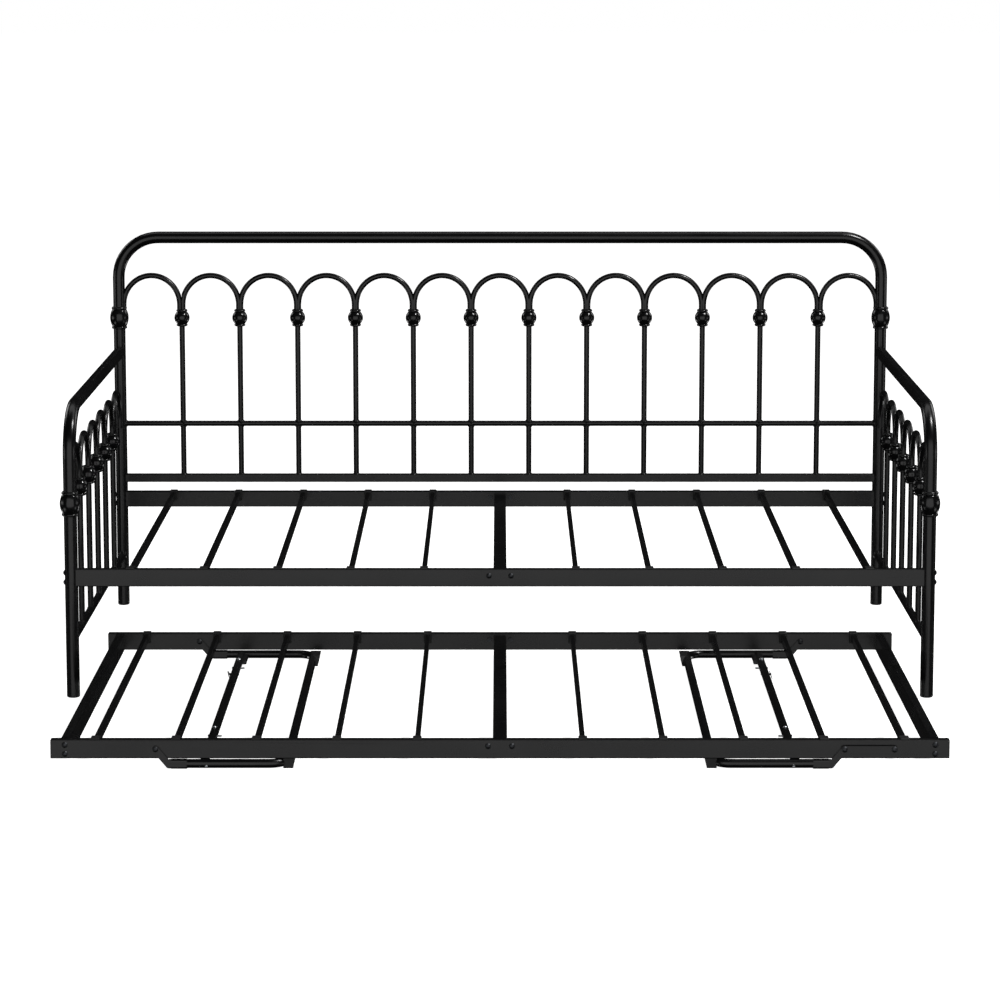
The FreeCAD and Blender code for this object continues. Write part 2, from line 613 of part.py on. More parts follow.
# ---- trundle frame ----
trundle_holes = support("trundle", TRUNDLE_FRONT_Y, TRUNDLE_REAR_Y, TRUNDLE_TOP,
                        TRUNDLE_CENTRE_DROP, slat_places(TRUNDLE_SLAT_X, TRUNDLE_SLAT_PITCH))
end_bolt_places = [((side * END_BAR_X, y, z), (0, way, 0)) for side in SIDES
                   for y, way in ((TRUNDLE_FRONT_Y, -1), (TRUNDLE_REAR_Y, 1)) for z in TRUNDLE_BOLT_Z]
END_BOLT_LENGTH = RAIL_DEPTH + INSERT_LENGTH - 4
end_holes = [bolt_hole(place, way, RAIL_DEPTH + 1) for place, way in end_bolt_places]
save("trundle_end_bolts", [aim(bolt(END_BOLT_LENGTH), place, way) for place, way in end_bolt_places])


def end_insert(side, y_face, inward):
    """Steel block in an end bar with the threads for its two bolts."""
    half = RAIL_DEPTH / 2 - RAIL_WALL
    block = box(side * END_BAR_X - half, side * END_BAR_X + half, y_face, y_face + inward * INSERT_LENGTH,
                TRUNDLE_RAIL_Z + RAIL_WALL, TRUNDLE_TOP - RAIL_WALL)
    screws = [rod((side * END_BAR_X, y_face, z), (side * END_BAR_X, y_face + inward * INSERT_LENGTH, z),
                  BOLT_R) for z in TRUNDLE_BOLT_Z]
    return cut_all(block, screws)


save("trundle_end_inserts", [end_insert(side, face, inward) for side in SIDES
                             for face, inward in ((FRONT_INNER_Y, 1), (REAR_INNER_Y, -1))])
for side, name in zip(SIDES, ("left", "right")):
    half = RAIL_DEPTH / 2
    save("trundle_%s_end_bar" % name,
         square_tube(side * END_BAR_X - half, side * END_BAR_X + half, FRONT_INNER_Y, REAR_INNER_Y,
                     TRUNDLE_RAIL_Z, TRUNDLE_TOP, "Y", RAIL_WALL))


def rail_end_cap(side, y_face):
    """Plastic cap on a rail's end: a rounded plate and a stem inside the tube."""
    outer = side * TRUNDLE_HALF
    inner = side * (TRUNDLE_HALF - END_CAP_THICK)
    plate = box(outer, inner, y_face, y_face + RAIL_DEPTH, TRUNDLE_RAIL_Z, TRUNDLE_TOP)
    plate = plate.makeFillet(RAIL_ROUND, along_edges(plate, RIGHT))
    rim = [e for e in plate.Edges if abs(e.CenterOfMass.x - outer) < 0.01]
    plate = plate.makeFillet(END_CAP_ROUND, rim)
    stem = box(inner, side * (TRUNDLE_HALF - END_CAP_STEM), y_face + RAIL_WALL,
               y_face + RAIL_DEPTH - RAIL_WALL, TRUNDLE_RAIL_Z + RAIL_WALL, TRUNDLE_TOP - RAIL_WALL)
    return plate.fuse(stem)


pivot_places = [((side * PIVOT_X, LEG_FRONT_Y - STRAP_THICK / 2, PIVOT_Z), (0, -1, 0)) for side in SIDES]
pivot_places += [((side * PIVOT_X, LEG_REAR_Y - STRAP_THICK / 2, PIVOT_Z), (0, -1, 0)) for side in SIDES]
stay_bolt = ((STAY_X, TRUNDLE_FRONT_Y, PIVOT_Z), (0, -1, 0))
pivot_holes = [bolt_hole(place, way, RAIL_DEPTH + 2 * STRAP_THICK) for place, way in pivot_places]
stay_hole = bolt_hole(*stay_bolt, RAIL_DEPTH + 2 * STRAP_THICK)
for y_face, name in ((TRUNDLE_FRONT_Y, "front"), (REAR_INNER_Y, "rear")):
    reach = TRUNDLE_HALF - END_CAP_THICK
    rail = square_tube(-reach, reach, y_face, y_face + RAIL_DEPTH, TRUNDLE_RAIL_Z, TRUNDLE_TOP,
                       "X", RAIL_WALL)
    holes = trundle_holes + end_holes + pivot_holes + [stay_hole]
    save("trundle_%s_rail" % name, cut_all(rail, holes))
save("trundle_rail_end_caps", [rail_end_cap(side, y) for side in SIDES
                               for y in (TRUNDLE_FRONT_Y, REAR_INNER_Y)])

# ---- pivot bolts of the legs, and the stay plate on the right ----
PIVOT_HEAD_H = 3.2
STAY_OUT = LEG_FRONT_Y - STRAP_THICK / 2 - STRAP_GAP - STAY_THICK
pivot_bolts = []
pivot_nuts = []
for place, way in pivot_places:
    stayed = place[0] > 0 and place[1] < 0
    seat = STAY_OUT if stayed else place[1] - STRAP_GAP
    rail_back = (FRONT_INNER_Y if place[1] < 0 else TRUNDLE_REAR_Y)
    length = rail_back - seat + NUT_H + THREAD_SHOWN
    pivot_bolts.append(aim(bolt(length, head_h=PIVOT_HEAD_H), (place[0], seat, PIVOT_Z), way))
    pivot_nuts.append(aim(nut(), (place[0], rail_back, PIVOT_Z), way))
stay_reach = FRONT_INNER_Y - STAY_OUT + NUT_H + THREAD_SHOWN
pivot_bolts.append(aim(bolt(stay_reach, head_h=PIVOT_HEAD_H), (STAY_X, STAY_OUT, PIVOT_Z), (0, -1, 0)))
pivot_nuts.append(aim(nut(), (STAY_X, FRONT_INNER_Y, PIVOT_Z), (0, -1, 0)))
save("leg_pivot_bolts", pivot_bolts + pivot_nuts)

stay = box(PIVOT_X, STAY_X, STAY_OUT, STAY_OUT + STAY_THICK, PIVOT_Z - STAY_HALF, PIVOT_Z + STAY_HALF)
for x in (PIVOT_X, STAY_X):
    stay = stay.fuse(rod((x, STAY_OUT, PIVOT_Z), (x, STAY_OUT + STAY_THICK, PIVOT_Z), STAY_HALF))
stay_screws = [rod((x, STAY_OUT, PIVOT_Z), (x, TRUNDLE_FRONT_Y, PIVOT_Z), BOLT_R) for x in (PIVOT_X, STAY_X)]
stay_boss = rod((STAY_X, STAY_OUT, PIVOT_Z), (STAY_X, TRUNDLE_FRONT_Y, PIVOT_Z), HEAD_R)
save("stay_plate", cut_all(stay.fuse(stay_boss).removeSplitter(), stay_screws))


# ---- folding legs ----
def leg_strap(side, y):
    """Strap from the pivot down to a flattened socket that holds the end of the leg tube."""
    front = y - STRAP_THICK / 2
    back = y + STRAP_THICK / 2
    pivot = rod((side * PIVOT_X, front, PIVOT_Z), (side * PIVOT_X, back, PIVOT_Z), STRAP_R)
    elbow_x, elbow_z = STRAP_ELBOW
    elbow = rod((side * elbow_x, front, elbow_z), (side * elbow_x, back, elbow_z), STRAP_R)
    along = Vector(PIVOT_X - elbow_x, 0, PIVOT_Z - elbow_z).normalize() * STRAP_R
    corners = [(elbow_x + along.z, elbow_z - along.x), (PIVOT_X + along.z, PIVOT_Z - along.x),
               (PIVOT_X - along.z, PIVOT_Z + along.x), (elbow_x - along.z, elbow_z + along.x)]
    corners = [Vector(side * x, front, z) for x, z in corners]
    band = Part.Face(Part.makePolygon(corners + corners[:1])).extrude(Vector(0, STRAP_THICK, 0))
    foot = box(side * LEG_SOCKET_X[0], side * elbow_x, front, back, *LEG_SOCKET_Z)
    socket = box(side * LEG_SOCKET_X[0], side * LEG_SOCKET_X[1], y - LEG_SOCKET_HALF, y + LEG_SOCKET_HALF,
                 *LEG_SOCKET_Z)
    socket = socket.makeFillet(LEG_SOCKET_ROUND, along_edges(socket, RIGHT))
    strap = pivot.fuse(band).fuse(elbow).fuse(foot).fuse(socket).removeSplitter()
    hole = rod((side * PIVOT_X, front, PIVOT_Z), (side * PIVOT_X, back, PIVOT_Z), BOLT_R + PIVOT_CLEAR)
    return strap.cut(hole)


def foot_pad(side, y_outer, inward, leg_solid):
    """Plastic pad on the inner side of the U's corner; its slanted face stands on the floor in use."""
    y_end = y_outer + inward * PAD_LENGTH
    bottom = LEG_TUBE_Z - LEG_TUBE_R - PAD_SKIN
    top = LEG_TUBE_Z + LEG_TUBE_R
    profile = [(PAD_X[0], top), (PAD_X[1], top), (PAD_X[1], bottom), (PAD_X[0] + PAD_SLANT, bottom)]
    corners = [Vector(side * x, y_outer, z) for x, z in profile]
    y_toe = y_end + inward * PAD_TOE
    block = Part.Face(Part.makePolygon(corners + corners[:1])).extrude(Vector(0, y_toe - y_outer, 0))
    slope = [Vector(0, y_end, top + 1), Vector(0, y_toe, bottom), Vector(0, y_toe, top + 1)]
    wedge = Part.Face(Part.makePolygon(slope + slope[:1])).extrude(Vector(side * 2 * PAD_X[1], 0, 0))
    block = block.cut(wedge)
    return max(block.cut(leg_solid).Solids, key=lambda solid: solid.Volume)


def crossbar(side):
    """Round tube between the U's side tubes, with a small welded tab near its rear end."""
    ends = ((side * CROSSBAR_X, LEG_FRONT_Y, LEG_TUBE_Z), (side * CROSSBAR_X, LEG_REAR_Y, LEG_TUBE_Z))
    bar = rod(*ends, CROSSBAR_R)
    tab_rear = LEG_REAR_Y - TAB_SETBACK
    tab = box(side * (CROSSBAR_X - CROSSBAR_R - TAB_OUT), side * (CROSSBAR_X - CROSSBAR_R + TAB_ROOT),
              tab_rear - TAB_LENGTH, tab_rear, LEG_TUBE_Z - TAB_HALF, LEG_TUBE_Z + TAB_HALF)
    bore = rod(*ends, CROSSBAR_R - LEG_TUBE_WALL)
    return bar.cut(bore), tab.cut(bar)


def pull_pin(side, y):
    """Lock pin across the crossbar with a pull ring through its outer end."""
    reach = CROSSBAR_R + PIN_REACH
    inner = (side * (CROSSBAR_X - CROSSBAR_R - PIN_TIP), y, LEG_TUBE_Z)
    outer = (side * (CROSSBAR_X + reach), y, LEG_TUBE_Z)
    pin = rod(inner, outer, PIN_R)
    ring_x = side * (CROSSBAR_X + reach - RING_INSET)
    ring = Part.makeTorus(RING_R, RING_WIRE_R, Vector(ring_x, y - RING_R, LEG_TUBE_Z),
                          Vector(1, 0, RING_TILT))
    return pin.fuse(ring)


for side, name in zip(SIDES, ("left", "right")):
    u_path = [(side * LEG_SOCKET_X[0], LEG_FRONT_Y, LEG_TUBE_Z), (side * LEG_CROSS_X, LEG_FRONT_Y, LEG_TUBE_Z),
              (side * LEG_CROSS_X, LEG_REAR_Y, LEG_TUBE_Z), (side * LEG_SOCKET_X[0], LEG_REAR_Y, LEG_TUBE_Z)]
    u_solid = bent_rod(u_path, LEG_BEND, LEG_TUBE_R)
    bar, tab = crossbar(side)
    side_screws = [((side * CROSS_SCREW_X, y - way * LEG_TUBE_R, CROSS_SCREW_Z), (0, -way, 0))
                   for y, way in ((LEG_FRONT_Y, 1), (LEG_REAR_Y, -1))]
    domes = [((side * CROSSBAR_X, LEG_FRONT_Y + offset, LEG_TUBE_Z + CROSSBAR_R), (0, 0, 1))
             for offset in DOME_OFFSETS]
    crosses = [((side * (CROSSBAR_X + CROSSBAR_R), LEG_FRONT_Y + offset, LEG_TUBE_Z), (side, 0, 0))
               for offset in CROSS_BOLT_OFFSETS]
    screws = [aim(bolt(SCREW_LENGTH, *SIDE_SCREW), place, way) for place, way in side_screws]
    screws += [aim(bolt(SCREW_LENGTH, *DOME_SCREW), place, way) for place, way in domes]
    screws += [aim(bolt(2 * CROSSBAR_R + CROSS_BOLT_TAIL, *CROSS_BOLT), place, way)
               for place, way in crosses]
    pins = [pull_pin(side, LEG_FRONT_Y + offset) for offset in LOCK_PIN_OFFSETS]
    through = (side * (CROSSBAR_X - 2 * CROSSBAR_R), side * (CROSSBAR_X + 2 * CROSSBAR_R))
    pin_holes = [rod((through[0], LEG_FRONT_Y + offset, LEG_TUBE_Z),
                     (through[1], LEG_FRONT_Y + offset, LEG_TUBE_Z), PIN_R + PIN_CLEAR)
                 for offset in LOCK_PIN_OFFSETS]
    save(name + "_leg_tube", cut_all(u_solid.cut(bent_rod(u_path, LEG_BEND, LEG_TUBE_R - LEG_TUBE_WALL)),
                                     screws[:2]))
    save(name + "_leg_crossbar", [cut_all(bar, [u_solid] + screws + pin_holes), tab])
    save(name + "_leg_screws", screws)
    save(name + "_leg_straps", [leg_strap(side, LEG_FRONT_Y), leg_strap(side, LEG_REAR_Y)])
    save(name + "_leg_feet", [foot_pad(side, LEG_FRONT_Y + PAD_SETBACK, 1, u_solid),
                              foot_pad(side, LEG_REAR_Y - PAD_SETBACK, -1, u_solid)])
    save(name + "_front_lock_pin", pins[0])
    save(name + "_rear_lock_pin", pins[1])

print("origin shift in Y %.3f" % -CENTRE_Y)
print("leg pivots X %.1f  Z %.1f" % (PIVOT_X, PIVOT_Z))
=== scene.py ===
import math

import bmesh
import bpy
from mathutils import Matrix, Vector


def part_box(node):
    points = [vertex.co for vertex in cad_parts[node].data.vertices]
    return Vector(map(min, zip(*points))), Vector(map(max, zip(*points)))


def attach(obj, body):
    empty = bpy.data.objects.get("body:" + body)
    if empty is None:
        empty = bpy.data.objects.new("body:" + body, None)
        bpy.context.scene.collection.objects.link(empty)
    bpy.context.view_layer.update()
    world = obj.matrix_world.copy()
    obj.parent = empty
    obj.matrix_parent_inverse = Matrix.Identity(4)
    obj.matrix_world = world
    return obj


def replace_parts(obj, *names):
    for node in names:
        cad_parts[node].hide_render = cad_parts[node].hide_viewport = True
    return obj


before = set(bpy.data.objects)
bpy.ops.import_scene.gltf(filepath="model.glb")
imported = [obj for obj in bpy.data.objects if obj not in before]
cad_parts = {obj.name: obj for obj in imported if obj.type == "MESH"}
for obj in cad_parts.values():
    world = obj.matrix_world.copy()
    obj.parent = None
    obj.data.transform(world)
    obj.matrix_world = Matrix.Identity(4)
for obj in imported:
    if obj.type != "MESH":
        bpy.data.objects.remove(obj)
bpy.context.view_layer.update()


# ---- Back hoop and arm tubes ----
# Each is one length of 30 mm round steel tube, bent cold on a mandrel.  It is sprayed with black
# polyester powder and baked, which leaves a satin skin with a faint orange peel.
MM = 0.001
MIX_A, MIX_B, MIX_RESULT = 6, 7, 2      # a Mix node's colour sockets


def linear(code):
    """A colour's sRGB hex code as linear red, green, blue and alpha."""
    parts = [int(code[k:k + 2], 16) / 255 for k in (1, 3, 5)]
    return [c / 12.92 if c <= 0.04045 else ((c + 0.055) / 1.055) ** 2.4 for c in parts] + [1.0]


def new_material(name, settings):
    """A material with one Principled shader; returns it, its node tree and the shader."""
    material = bpy.data.materials.new(name)
    material.use_nodes = True
    tree = material.node_tree
    shader = tree.nodes["Principled BSDF"]
    for socket, value in settings.items():
        shader.inputs[socket].default_value = value
    return material, tree, shader


def add_node(tree, kind, settings=None, inputs=None):
    """A node of that kind.  Settings are its properties; inputs are values or output sockets."""
    node = tree.nodes.new(kind)
    for name, value in (settings or {}).items():
        setattr(node, name, value)
    for name, value in (inputs or {}).items():
        if isinstance(value, bpy.types.NodeSocket):
            tree.links.new(value, node.inputs[name])
        else:
            node.inputs[name].default_value = value
    return node


def patches(tree, place, pitch_mm, detail=2.0):
    """Soft noise with one patch every pitch_mm on the surface."""
    noise = add_node(tree, "ShaderNodeTexNoise", {"noise_dimensions": "3D"},
                     {"Vector": place, "Scale": 1 / (pitch_mm * MM), "Detail": detail})
    return noise.outputs["Fac"]


def spread(tree, value, low, high):
    """The middle of a noise carried over to the range low to high."""
    mapped = add_node(tree, "ShaderNodeMapRange", {},
                      {"Value": value, "From Min": 0.3, "From Max": 0.7, "To Min": low, "To Max": high})
    return mapped.outputs["Result"]


def tint(tree, value, dark, light):
    """A colour between two hex codes, by a noise."""
    mix = add_node(tree, "ShaderNodeMix", {"data_type": "RGBA"}, {"Factor": spread(tree, value, 0, 1)})
    mix.inputs[MIX_A].default_value = linear(dark)
    mix.inputs[MIX_B].default_value = linear(light)
    return mix.outputs[MIX_RESULT]


def relief(tree, height, depth_mm, under=None):
    """A bump of that depth, laid over another one if given."""
    inputs = {"Height": height, "Distance": depth_mm * MM, "Strength": 1.0}
    if under is not None:
        inputs["Normal"] = under
    return add_node(tree, "ShaderNodeBump", {}, inputs).outputs["Normal"]


def powder_coat():
    """Black polyester powder coat on steel: satin, with a 3 mm orange peel and a fine 0.8 mm grain.
    The true grain is near 0.2 mm; it is drawn coarser so that it shows.  Handling leaves broad
    patches, about 140 mm, that are a little glossier or duller."""
    material, tree, shader = new_material("satin_black_powder_coat",
                                          {"IOR": 1.5, "Specular IOR Level": 0.5})
    place = add_node(tree, "ShaderNodeTexCoord").outputs["Object"]
    peel = patches(tree, place, 3.0, 1.0)
    grain = patches(tree, place, 0.8, 2.0)
    handling = patches(tree, place, 140.0, 3.0)
    gloss = add_node(tree, "ShaderNodeMath", {"operation": "ADD"},
                     {0: handling, 1: spread(tree, grain, -0.08, 0.08)}).outputs[0]
    links = tree.links
    links.new(tint(tree, handling, "#0B0B0C", "#101011"), shader.inputs["Base Color"])
    links.new(spread(tree, gloss, 0.22, 0.29), shader.inputs["Roughness"])
    links.new(relief(tree, grain, 0.004, relief(tree, peel, 0.012)), shader.inputs["Normal"])
    return material


def finish(material, *names):
    """Give CAD nodes their finish."""
    for name in names:
        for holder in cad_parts[name].material_slots:
            holder.material = material


coat = powder_coat()
finish(coat, "back_frame_tube", "left_arm_tube", "right_arm_tube")

# ---- Foot plugs ----
# A black polyethylene plug is pushed into the end of each post and stands on the floor.
# Its lip has the fine spark-eroded grain of the mould.


def moulded_plastic():
    """Black polyethylene, injection moulded: matte, with a spark-eroded grain of about 0.3 mm that is
    drawn at 0.9 mm so that it shows."""
    material, tree, shader = new_material("moulded_black_polyethylene",
                                          {"IOR": 1.51, "Specular IOR Level": 0.5})
    place = add_node(tree, "ShaderNodeTexCoord").outputs["Object"]
    grain = patches(tree, place, 0.9, 3.0)
    flow = patches(tree, place, 22.0, 2.0)
    links = tree.links
    links.new(tint(tree, flow, "#111112", "#171718"), shader.inputs["Base Color"])
    links.new(spread(tree, flow, 0.5, 0.6), shader.inputs["Roughness"])
    links.new(relief(tree, grain, 0.03), shader.inputs["Normal"])
    return material


plastic = moulded_plastic()
finish(plastic, "foot_plugs")

# ---- Back: spindles, arches and bars ----
# Thin 14 mm tubes, the arches bent and the spindles straight, on a 20 mm square bottom rail.
# They are welded into a panel before coating, so they share the tubes' finish.
finish(coat, "back_spindles", "back_arches", "back_middle_bar", "back_bottom_rail")

WELD_LEG = 2.2 * MM      # height and width of a weld bead beside its joint
WELD_SINK = 0.6 * MM     # how far the bead's root lies inside the rod
WELD_STEPS = 28
RIPPLES = 7              # solidified ripples round a 14 mm rod
RIPPLE_SWELL = 0.07      # how much a ripple stands out, as a share of the bead
WRAP_LIMIT = 0.999       # a bead reaches this far round the tube it sits on
MERGE = 0.01 * MM
ring_profile = [(0.0, 1.0), (0.42, 0.86), (0.8, 0.5), (1.0, 0.0)]


def spun(outline, closed, steps):
    """An outline of radius and height pairs spun round Z."""
    shape = bmesh.new()
    points = [shape.verts.new((radius, 0, height)) for radius, height in outline]
    pairs = list(zip(points, points[1:]))
    if closed:
        pairs.append((points[-1], points[0]))
    edges = [shape.edges.new(pair) for pair in pairs]
    bmesh.ops.spin(shape, geom=points + edges, cent=(0, 0, 0), axis=(0, 0, 1), angle=2 * math.pi,
                   steps=steps, use_merge=True)
    bmesh.ops.remove_doubles(shape, verts=shape.verts, dist=MERGE)
    return shape


def add_shape(mesh, shape, place):
    """Move a shape to its place and join it to a piece's mesh."""
    bmesh.ops.translate(shape, vec=Vector(place), verts=shape.verts)
    bmesh.ops.recalc_face_normals(shape, faces=shape.faces)
    part = bpy.data.meshes.new("part")
    shape.to_mesh(part)
    shape.free()
    mesh.from_mesh(part)
    bpy.data.meshes.remove(part)


def weld_ring(mesh, place, axis, rod_r, round_r=None, across=None):
    """A fillet weld round a rod that stands on a surface at place, with the rod leaving along axis.
    Where the surface is itself a tube, round_r and across are its radius and its direction."""
    axis = Vector(axis)
    root_r, foot = rod_r - WELD_SINK, -WELD_LEG / 2
    outline = [(root_r, foot), (root_r, WELD_LEG)]
    outline += [(rod_r + out * WELD_LEG, up * WELD_LEG) for out, up in ring_profile]
    ring = spun(outline + [(rod_r + WELD_LEG, foot)], True, WELD_STEPS)
    for vert in ring.verts:
        radius = math.hypot(vert.co.x, vert.co.y)
        outside = radius - rod_r
        if outside > 0:
            swell = 1 + RIPPLE_SWELL * math.sin(RIPPLES * math.atan2(vert.co.y, vert.co.x))
            vert.co.xy *= (rod_r + outside * swell) / radius
    to_axis = Vector((0, 0, 1)).rotation_difference(axis).to_matrix().to_4x4()
    bmesh.ops.transform(ring, matrix=to_axis, verts=ring.verts)
    if round_r:
        side = Vector(across).cross(axis)
        for vert in ring.verts:
            off = min(abs(vert.co.dot(side)), round_r * WRAP_LIMIT)
            vert.co -= axis * (round_r - math.sqrt(round_r ** 2 - off ** 2))
    add_shape(mesh, ring, place)


def make_piece(name, mesh, material, body):
    """Turn a bmesh into a finished piece that rides on a body."""
    data = bpy.data.meshes.new(name)
    for face in mesh.faces:
        face.smooth = True
    mesh.to_mesh(data)
    mesh.free()
    data.materials.append(material)
    piece = bpy.data.objects.new(name, data)
    bpy.context.scene.collection.objects.link(piece)
    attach(piece, body)
    return piece


def middle(name):
    """Centre of a node's box."""
    low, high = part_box(name)
    return (low + high) / 2


spindle_r = 7 * MM
post_r = 15 * MM
spindle_count = 12
back_low, back_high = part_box("back_spindles")
spindle_step = (back_high.x - back_low.x - 2 * spindle_r) / (spindle_count - 1)
spindle_x = [back_low.x + spindle_r + spindle_step * k for k in range(spindle_count)]
back_y = middle("back_spindles").y
rail_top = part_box("back_bottom_rail")[1].z
bar_z = middle("back_middle_bar").z
back_post_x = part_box("back_frame_tube")[1].x - post_r
welds = bmesh.new()
for x in spindle_x:
    weld_ring(welds, (x, back_y, rail_top), (0, 0, 1), spindle_r)
    for way in (-1, 1):
        weld_ring(welds, (x + way * spindle_r, back_y, bar_z), (way, 0, 0), spindle_r,
                  spindle_r, (0, 0, 1))
for way in (-1, 1):
    weld_ring(welds, (way * (back_post_x - post_r), back_y, bar_z), (-way, 0, 0), spindle_r,
              post_r, (0, 0, 1))
make_piece("back_welds", welds, coat, "daybed")

# ---- Knuckles ----
# Decorative castings, a barrel between two beads, that cover the joints of spindles and arches.
# They are coated with the panel; the smooth casting shows the coat glossier than the tubes do.


def coated_casting():
    """Black powder coat on a smooth zinc casting: semi-gloss, with a soft 6 mm waviness."""
    material, tree, shader = new_material("coated_zinc_casting",
                                          {"IOR": 1.5, "Specular IOR Level": 0.5})
    place = add_node(tree, "ShaderNodeTexCoord").outputs["Object"]
    wave = patches(tree, place, 6.0, 2.0)
    links = tree.links
    links.new(tint(tree, wave, "#0F0F10", "#141415"), shader.inputs["Base Color"])
    links.new(spread(tree, wave, 0.17, 0.22), shader.inputs["Roughness"])
    links.new(relief(tree, wave, 0.012), shader.inputs["Normal"])
    return material


casting = coated_casting()
NECK_STEP = 1.4 * MM     # the neck lies this far under the beads
BEAD_STEPS = 8
BARREL_STEPS = 9
KNUCKLE_STEPS = 40
ARM_SPINDLES = 5
small = (19.4 * MM, 14.2 * MM, 6.8 * MM)      # barrel radius, bead radius and bead height
large = (23.6 * MM, 19.6 * MM, 7.4 * MM)


def turned_knuckle(mesh, centre, half, barrel_r, bead_r, bead_height, bore_r=0.0):
    """A barrel with a half-round bead at each end, about Z at the centre, with a bore if given."""
    bead_round = bead_height / 2
    neck_r = bead_r - NECK_STEP
    barrel_half = half - bead_height
    arc_r = (barrel_half ** 2 + (barrel_r - neck_r) ** 2) / (2 * (barrel_r - neck_r))
    upper = [(bore_r, half), ((bore_r + bead_r - bead_round) / 2, half)]
    for k in range(BEAD_STEPS + 1):
        turn = math.pi / 2 - math.pi * k / BEAD_STEPS
        upper.append((bead_r - bead_round + bead_round * math.cos(turn),
                      half - bead_round + bead_round * math.sin(turn)))
    for k in range(BARREL_STEPS):
        z = barrel_half * (1 - k / BARREL_STEPS)
        upper.append((barrel_r - arc_r + math.sqrt(arc_r ** 2 - z ** 2), z))
    outline = upper + [(barrel_r, 0.0)] + [(r, -z) for r, z in reversed(upper)]
    add_shape(mesh, spun(outline, bool(bore_r), KNUCKLE_STEPS), centre)


def knuckle_row(name, node, places, barrel_r, bead_r, bead_height, bore_r=0.0):
    """Knuckles at the places, in x and y, as high as the CAD's."""
    low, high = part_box(node)
    mesh = bmesh.new()
    for x, y in places:
        centre = (x, y, (low.z + high.z) / 2)
        turned_knuckle(mesh, centre, (high.z - low.z) / 2, barrel_r, bead_r, bead_height, bore_r)
    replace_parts(make_piece(name, mesh, casting, "daybed"), node)


front_y = middle("front_post_knuckles").y
knuckle_row("back_small_knuckles", "back_spindle_knuckles",
            [(x, back_y) for x in spindle_x], *small)
for end, y in (("back", back_y), ("front", front_y)):
    knuckle_row(end + "_large_knuckles", end + "_post_knuckles",
                [(-back_post_x, y), (back_post_x, y)], *large, post_r)
arm_places = {}
for side in ("left", "right"):
    low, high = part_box(side + "_arm_spindles")
    step = (high.y - low.y - 2 * spindle_r) / (ARM_SPINDLES - 1)
    arm_places[side] = [((low.x + high.x) / 2, low.y + spindle_r + step * k)
                        for k in range(ARM_SPINDLES)]
    knuckle_row(side + "_small_knuckles", side + "_arm_knuckles", arm_places[side], *small)

# ---- Arms: spindles, arches and bottom bars ----
# The same thin tubes as in the back, on a round bottom bar that runs from post to post.  They are
# welded where they meet, then coated with the arm tube.
front_post_y = middle("front_side_rail").y
for side in ("left", "right"):
    finish(coat, side + "_arm_bottom_bar", side + "_arm_spindles", side + "_arm_arches")
    bar_low, bar_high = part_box(side + "_arm_bottom_bar")
    bar_r = (bar_high.z - bar_low.z) / 2
    welds = bmesh.new()
    for x, y in arm_places[side]:
        weld_ring(welds, (x, y, bar_high.z), (0, 0, 1), spindle_r, bar_r, (0, 1, 0))
    x = arm_places[side][0][0]
    for touch, way in ((front_post_y + post_r, 1), (back_y - post_r, -1)):
        weld_ring(welds, (x, touch, bar_high.z - bar_r), (0, way, 0), bar_r, post_r, (0, 0, 1))
    make_piece(side + "_arm_welds", welds, coat, "daybed")

# ---- Side rails and their bolts ----
# 20 x 40 mm steel tube between the posts.  Black oxide button-head bolts go through the posts into
# threaded steel blocks pressed in the rails' ends.


def black_oxide():
    """Black oxide steel, turned and tumbled: a dark metal sheen with faint blue-grey wear."""
    material, tree, shader = new_material("black_oxide_steel", {"Metallic": 1.0})
    place = add_node(tree, "ShaderNodeTexCoord").outputs["Object"]
    wear = patches(tree, place, 2.5, 3.0)
    links = tree.links
    links.new(tint(tree, wear, "#3F4043", "#55575A"), shader.inputs["Base Color"])
    links.new(spread(tree, wear, 0.42, 0.54), shader.inputs["Roughness"])
    links.new(relief(tree, wear, 0.01), shader.inputs["Normal"])
    return material


def zinc_plate():
    """Zinc-plated steel with a clear passivate: bright grey with a slightly cloudy gloss."""
    material, tree, shader = new_material("zinc_plated_steel", {"Metallic": 1.0})
    place = add_node(tree, "ShaderNodeTexCoord").outputs["Object"]
    cloud = patches(tree, place, 4.0, 3.0)
    links = tree.links
    links.new(tint(tree, cloud, "#9FA3A8", "#C4C6C8"), shader.inputs["Base Color"])
    links.new(spread(tree, cloud, 0.22, 0.36), shader.inputs["Roughness"])
    return material


oxide = black_oxide()
zinc = zinc_plate()
finish(coat, "front_side_rail", "back_side_rail")
finish(oxide, "side_rail_bolts", "arm_bolts")
finish(zinc, "side_rail_inserts", "arm_inserts")

# ---- Slats, centre bar and caps ----
# Ten 10 x 20 mm tubes on edge drop into moulded caps hooked over the rails; one wider bar in the
# middle is bolted to plates.  Tubes and plates are coated, the caps are black polyethylene.
for level in ("daybed", "trundle"):
    finish(coat, level + "_slats", level + "_centre_bar", level + "_centre_plates")
    finish(plastic, level + "_slat_caps")
    finish(oxide, level + "_centre_bolts")

# ---- Trundle frame ----
# A low frame of 20 x 40 mm tube: two long rails with plastic end caps and two end bars bolted
# between them through the rails.
finish(coat, "trundle_front_rail", "trundle_rear_rail",
       "trundle_left_end_bar", "trundle_right_end_bar")
finish(plastic, "trundle_rail_end_caps")
finish(oxide, "trundle_end_bolts")
finish(zinc, "trundle_end_inserts")

# ---- Folding legs, their pivots and the stay plate ----
# A 19 mm tube bent to a U, with a crossbar, hangs on two flat straps from bolts in the rails.
# All is coated steel but the moulded pads on its corners, the black bolts and the bright screws.
for side in ("left", "right"):
    finish(coat, side + "_leg_tube", side + "_leg_crossbar", side + "_leg_straps")
    finish(plastic, side + "_leg_feet")
    finish(zinc, side + "_leg_screws")
finish(oxide, "leg_pivot_bolts")
finish(coat, "stay_plate")

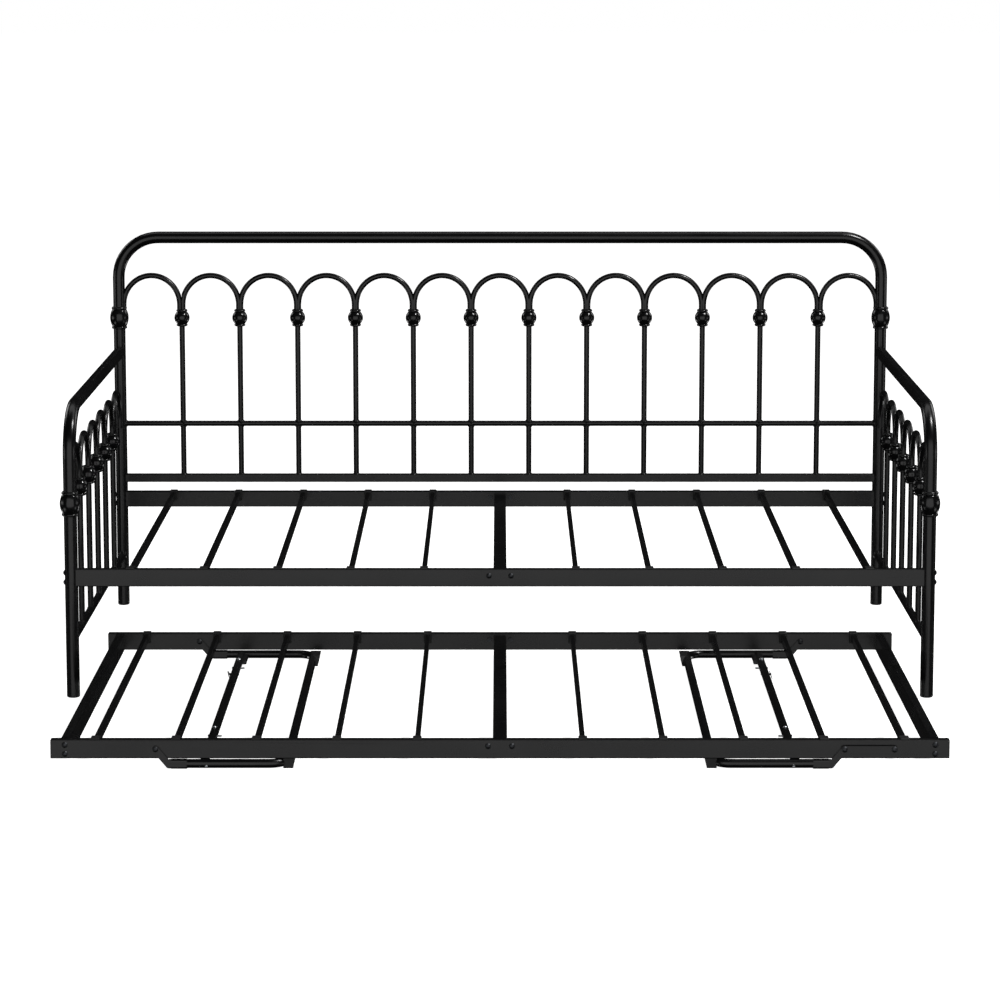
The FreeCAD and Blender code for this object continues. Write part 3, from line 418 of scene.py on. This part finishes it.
# ---- Lock pins ----
# Short steel pins with a pull ring go across each crossbar, each with a spring inside it.
# They are blackened like the bolts, so only the rings' thin outlines are seen.
for side in ("left", "right"):
    finish(oxide, side + "_front_lock_pin", side + "_rear_lock_pin")

# ---- Floor, light and camera ----
# A plain pale floor under an even white backdrop, with broad soft lamps in front and weaker ones
# behind.  The floor and backdrop don't show in the gloss, as in a dark studio with a lit sweep.
FLOOR_HALF = 40.0        # metres, so that its edge is lost in the backdrop
floor = bpy.data.objects.new("floor", bpy.data.meshes.new("floor"))
plane = bmesh.new()
bmesh.ops.create_grid(plane, x_segments=1, y_segments=1, size=FLOOR_HALF)
plane.to_mesh(floor.data)
plane.free()
bpy.context.scene.collection.objects.link(floor)
floor_paint, tree, shader = new_material("pale_floor", {"Roughness": 0.9, "Specular IOR Level": 0.0,
                                                        "Emission Strength": 1.0})
shader.inputs["Base Color"].default_value = linear("#F4F4F2")
shader.inputs["Emission Color"].default_value = linear("#FFFFFF")
floor.data.materials.append(floor_paint)
floor.visible_glossy = False
floor.visible_diffuse = False
floor.visible_shadow = False

world = bpy.data.worlds.new("studio")
bpy.context.scene.world = world
world.use_nodes = True
tree = world.node_tree
tree.nodes.clear()
seen = add_node(tree, "ShaderNodeLightPath").outputs["Is Camera Ray"]
dim = add_node(tree, "ShaderNodeBackground", {}, {"Color": (1, 1, 1, 1), "Strength": 0.008})
lit = add_node(tree, "ShaderNodeBackground", {}, {"Color": (1, 1, 1, 1), "Strength": 1.0})
both = add_node(tree, "ShaderNodeMixShader", {}, {0: seen, 1: dim.outputs[0], 2: lit.outputs[0]})
add_node(tree, "ShaderNodeOutputWorld", {}, {"Surface": both.outputs[0]})


def lamp(name, place, target, size, power):
    """A rectangular soft box at place, facing the target, in metres and watts."""
    light = bpy.data.lights.new(name, "AREA")
    light.shape = "RECTANGLE"
    light.size, light.size_y = size
    light.energy = power
    holder = bpy.data.objects.new(name, light)
    holder.location = place
    holder.rotation_euler = (Vector(target) - Vector(place)).to_track_quat("-Z", "Y").to_euler()
    bpy.context.scene.collection.objects.link(holder)
    holder.visible_camera = False


lamp("front_box", (0.0, -4.3, 0.8), (0, 0, 0.8), (7.0, 4.1), 80)
lamp("spark_box", (3.2, -1.1, 5.6), (0, 0, 0.6), (1.0, 1.0), 190)
lamp("top_box", (0.0, 2.0, 5.8), (0, 0.2, 0.6), (7.0, 2.4), 46)
for way in (-1, 1):
    lamp("back_box", (way * 5.4, 4.2, 3.4), (0, 0, 0.4), (3.0, 2.4), 50)
    lamp("side_box", (way * 7.0, 0.0, 0.25), (0, 0, 0.25), (3.4, 1.1), 18)
    lamp("low_front_box", (way * 6.0, -2.4, -3.0), (0, 0, 0.4), (2.6, 1.4), 16)
    lamp("low_back_box", (way * 4.8, 4.0, -2.6), (0, 0, 0.4), (2.6, 1.4), 40)

LENS = 113.09            # mm on a 36 mm wide sensor
CAMERA_PLACE = (0.0, -7.198, 1.774)
LOOK_DOWN = math.radians(7.543)
SHIFT = -0.17            # as a share of the frame's width
camera_data = bpy.data.cameras.new("camera")
camera_data.lens = LENS
camera_data.sensor_width = 36.0
camera_data.shift_y = SHIFT
camera = bpy.data.objects.new("camera", camera_data)
camera.location = CAMERA_PLACE
camera.rotation_euler = (math.pi / 2 - LOOK_DOWN, 0, 0)
bpy.context.scene.collection.objects.link(camera)
bpy.context.scene.camera = camera
bpy.context.scene.view_settings.view_transform = "Standard"
